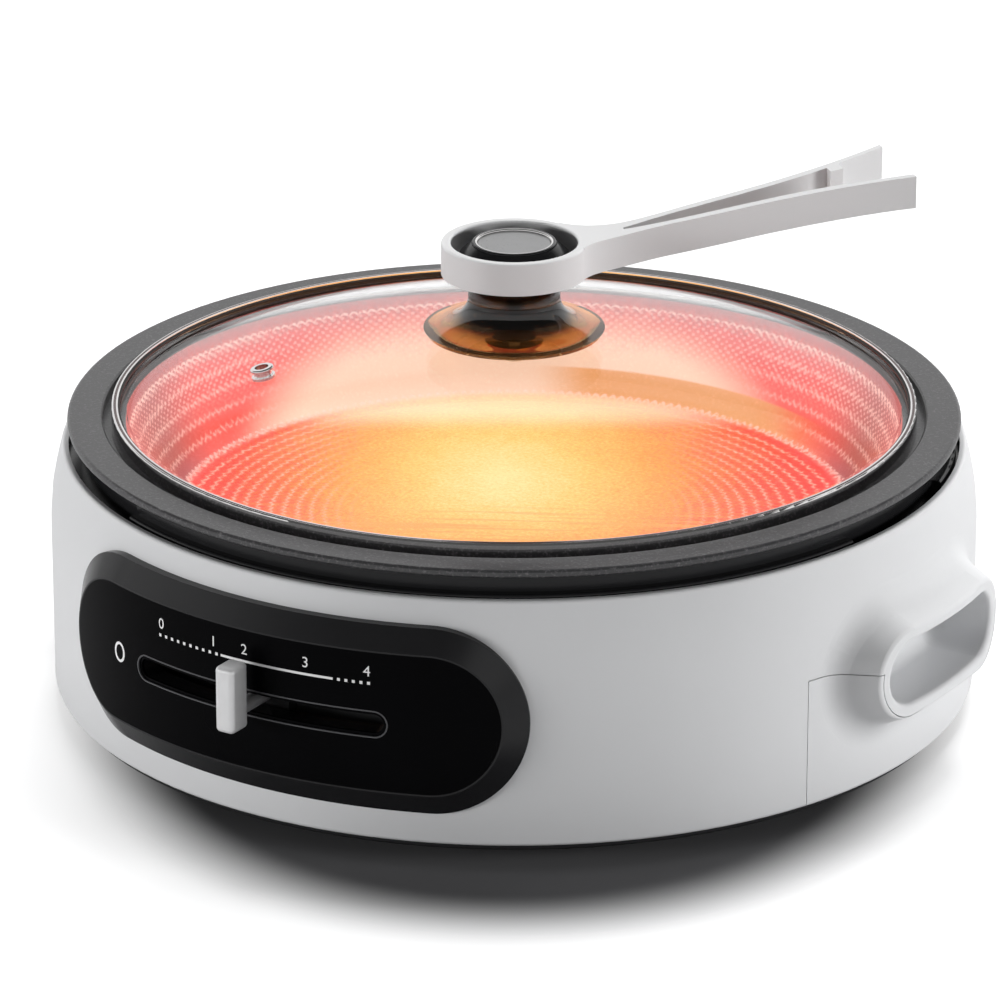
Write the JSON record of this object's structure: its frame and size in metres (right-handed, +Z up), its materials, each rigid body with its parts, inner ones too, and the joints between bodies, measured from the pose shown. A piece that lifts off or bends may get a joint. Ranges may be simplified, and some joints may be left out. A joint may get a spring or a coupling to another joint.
{
  "type": "electric hot pot with lid",
  "caption": "Round white electric hot pot with a lift-out pan, a glass lid whose knob carries a long swivelling lifter, and a slider on a raised black control pod.",
  "frame": {"origin": "on the table plane under the middle of the pot, the plane of the four feet's soles, 2.5 mm below the base plate's underside; the axis of the pot, pan, lid and knob is the Z axis", "axes": "+Z up; the control pod faces -Y; the handles face +X and -X; the power inlet faces +Y"},
  "size_m": [0.3702, 0.3662, 0.191],
  "materials": {
    "black_base": "fine-grained black plastic",
    "black_gloss": "glossy black plastic",
    "black_inner": "plain black plastic",
    "bright_aluminium": "bright sheet",
    "brown_inner": "brown phenolic plastic",
    "cast_aluminium": "cast aluminium",
    "foot_rubber": "soft black rubber",
    "knob_chrome": "polished chrome",
    "knob_disc": "spun aluminium",
    "knob_smoke": "smoky brown translucent plastic",
    "lid_glass": "clear tempered glass",
    "lifter_white": "satin white moulded plastic",
    "pan_coating": "dark grey speckled non-stick coating",
    "panel_gloss": "mirror-smooth black panel",
    "pin_brass": "plated brass",
    "rim_steel": "polished stainless steel",
    "screw_steel": "zinc-plated steel",
    "seal_rubber": "dark silicone",
    "slider_chrome": "satin chrome",
    "slot_line": "grey printed edge of the slot",
    "tube_steel": "stainless steel",
    "white_ceramic": "plain ceramic",
    "white_shell": "satin white moulded plastic",
    "wire_sleeve": "woven glass sleeve"
  },
  "bodies": {
    "base": {"body_shell": "white_shell", "side_cover_right": "white_shell", "side_cover_left": "white_shell", "base_plate": "black_base", "rubber_feet": "foot_rubber", "base_screws": "screw_steel", "collar_ring": "black_gloss", "control_pod": "black_gloss", "control_panel": "panel_gloss", "slot_trim": "slot_line", "slider_rail": "black_inner", "temperature_regulator": "brown_inner", "heating_plate": "cast_aluminium", "heating_tube": "tube_steel", "pin_bushes": "white_ceramic", "heat_reflector": "bright_aluminium", "plate_brackets": "tube_steel", "reflector_posts": "white_ceramic", "limit_thermostat": "cast_aluminium", "thermal_fuse": "white_ceramic", "terminal_block": "black_inner", "power_inlet": "black_base", "inlet_pins": "pin_brass", "wiring": "wire_sleeve"},
    "slider": {"slider_knob": "slider_chrome", "slider_stem": "screw_steel", "slider_carriage": "black_inner"},
    "pan": {"pan": "pan_coating"},
    "lid": {"lid_glass": "lid_glass", "lid_rim": "rim_steel", "rim_seal": "seal_rubber", "vent_eyelet": "rim_steel", "knob_skirt": "knob_smoke", "knob_cap": "black_gloss", "knob_ring": "knob_chrome", "knob_disc": "knob_disc", "knob_gasket": "seal_rubber", "knob_washer": "rim_steel", "knob_screw": "screw_steel"},
    "lifter": {"lid_lifter": "lifter_white"}
  },
  "joints": [
    {"name": "temperature_slide", "type": "hinge", "parent": "base", "child": "slider", "pos_m": [0, 0, 0.0541], "axis": [0, 0, 1], "range_deg": [-15.6, 15.6]},
    {"name": "pan_lift", "type": "slide", "parent": "base", "child": "pan", "axis": [0, 0, 1], "range_m": [0, 0.12]},
    {"name": "lid_lift", "type": "slide", "parent": "pan", "child": "lid", "axis": [0, 0, 1], "range_m": [0, 0.1]},
    {"name": "lifter_swivel", "type": "hinge", "parent": "lid", "child": "lifter", "pos_m": [0, 0, 0.1676], "axis": [0, 0, 1], "continuous": true}
  ]
}
